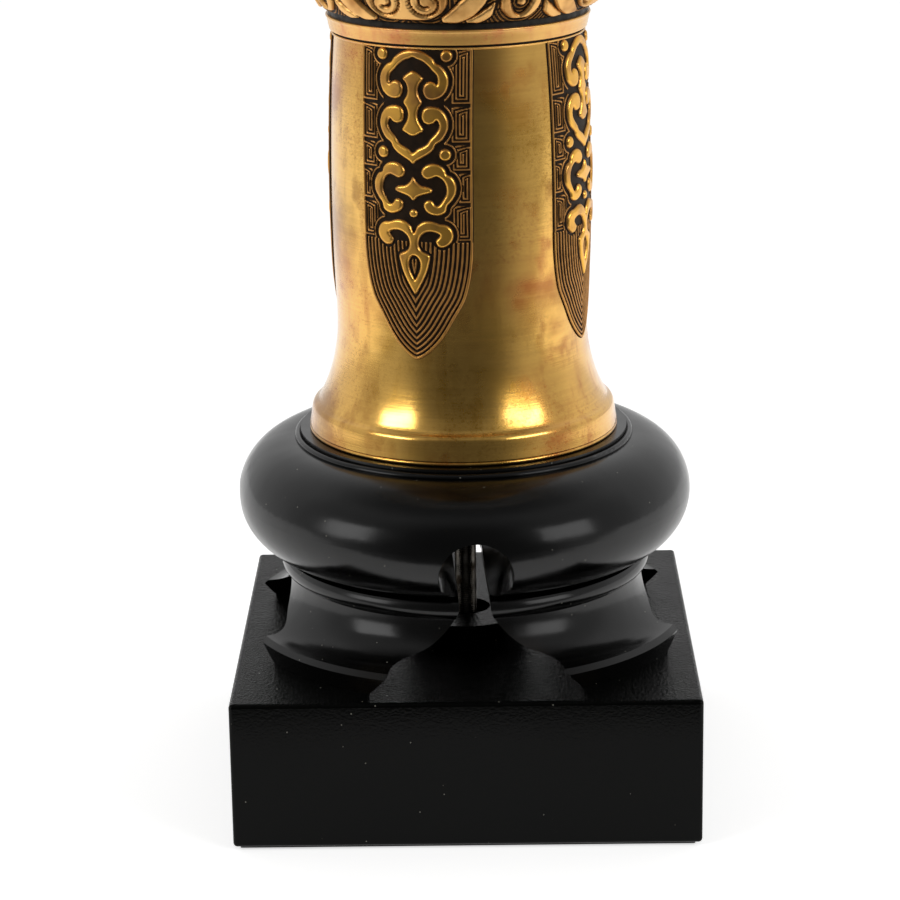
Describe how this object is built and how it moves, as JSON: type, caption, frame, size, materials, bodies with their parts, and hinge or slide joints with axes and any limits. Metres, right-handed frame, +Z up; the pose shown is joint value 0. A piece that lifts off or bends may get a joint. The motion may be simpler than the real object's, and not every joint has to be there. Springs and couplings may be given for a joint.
{
  "type": "table lamp",
  "caption": "Tall table lamp: blade-relief brass column on an ebonised keyhole stand and square black plinth, with harp, bulb and drum shade.",
  "frame": {"origin": "middle of the felt's underside, on the surface the lamp stands on", "axes": "+Z up the lamp's axis; the front of the lamp faces -Y and the cord outlet faces +Y"},
  "size_m": [0.4343, 0.4344, 0.9743],
  "materials": {
    "felt": "pressed wool felt, near black",
    "plinth_lacquer": "satin black lacquer with a fine grain and dust specks",
    "ebonised_wood": "ebonised turned wood, gloss lacquer",
    "column_brass": "aged polished brass, fine horizontal brushing, dark patina in the relief",
    "relief_brass": "cast relief brass, warm worn tops over dark brown recesses",
    "polished_brass": "polished turned brass",
    "harp_brass": "brass-plated steel wire and strip",
    "holder_brass": "thin drawn brass shell",
    "fitter_brass": "brass-plated wire",
    "contact_brass": "plain stamped brass",
    "dark_steel": "blackened steel",
    "rod_steel": "plated steel lamp pipe, dulled",
    "zinc_steel": "zinc-plated steel",
    "screw_shell_metal": "stamped aluminium",
    "bulb_metal": "bright aluminium",
    "phenolic": "black moulded phenolic",
    "black_plastic": "black moulded plastic",
    "liner_card": "vulcanised fibre card",
    "bulb_insulator": "black glass insulator",
    "bulb_glass": "clear blown glass",
    "bulb_mount_glass": "clear pressed glass stem",
    "filament_wire": "fine metal wire",
    "shade_lining": "stiff white styrene",
    "shade_linen": "off-white plain-weave linen",
    "shade_tape": "folded bias tape of the same linen"
  },
  "bodies": {
    "root": {"felt_pad": "felt", "plinth": "plinth_lacquer", "cord_bushing": "black_plastic", "bottom_washer": "zinc_steel", "lock_washer": "zinc_steel", "bottom_nut": "zinc_steel", "lamp_rod": "rod_steel", "stand": "ebonised_wood", "lower_column": "column_brass", "column_plate": "dark_steel", "knop": "relief_brass", "knop_plate": "dark_steel", "upper_trumpet": "column_brass", "vase_cap": "polished_brass", "check_ring": "polished_brass", "neck_tube": "polished_brass", "harp_saddle": "harp_brass", "harp": "harp_brass", "holder_cap": "holder_brass", "cap_set_screw": "zinc_steel", "holder_shell": "holder_brass", "holder_liner": "liner_card", "holder_core": "phenolic", "terminal_screw_left": "zinc_steel", "terminal_screw_right": "zinc_steel", "screw_shell": "screw_shell_metal", "centre_contact": "contact_brass"},
    "ferrule_left": {"harp_ferrule_left": "harp_brass"},
    "ferrule_right": {"harp_ferrule_right": "harp_brass"},
    "switch": {"switch_stem": "contact_brass", "switch_knob": "black_plastic"},
    "bulb": {"bulb_contact": "bulb_metal", "bulb_insulator": "bulb_insulator", "bulb_base": "bulb_metal", "bulb_glass": "bulb_glass", "bulb_mount": "bulb_mount_glass", "bulb_filament": "filament_wire"},
    "shade": {"shade_fitter": "fitter_brass", "shade_bottom_ring": "fitter_brass", "shade_lining": "shade_lining", "shade_fabric": "shade_linen", "shade_top_tape": "shade_tape", "shade_bottom_tape": "shade_tape"},
    "finial": {"finial": "polished_brass"}
  },
  "joints": [
    {"name": "switch_turn", "type": "hinge", "parent": "root", "child": "switch", "pos_m": [0, -0.0176, 0.714], "axis": [0, -1, 0], "continuous": true},
    {"name": "bulb_turn", "type": "hinge", "parent": "root", "child": "bulb", "pos_m": [0, 0, 0.746], "axis": [0, 0, 1], "continuous": true},
    {"name": "ferrule_left_slide", "type": "slide", "parent": "root", "child": "ferrule_left", "axis": [0, 0, 1], "range_m": [0, 0.01]},
    {"name": "ferrule_right_slide", "type": "slide", "parent": "root", "child": "ferrule_right", "axis": [0, 0, 1], "range_m": [0, 0.01]},
    {"name": "shade_turn", "type": "hinge", "parent": "root", "child": "shade", "pos_m": [0, 0, 0.9391], "axis": [0, 0, 1], "continuous": true},
    {"name": "finial_turn", "type": "hinge", "parent": "root", "child": "finial", "pos_m": [0, 0, 0.9408], "axis": [0, 0, 1], "continuous": true}
  ]
}
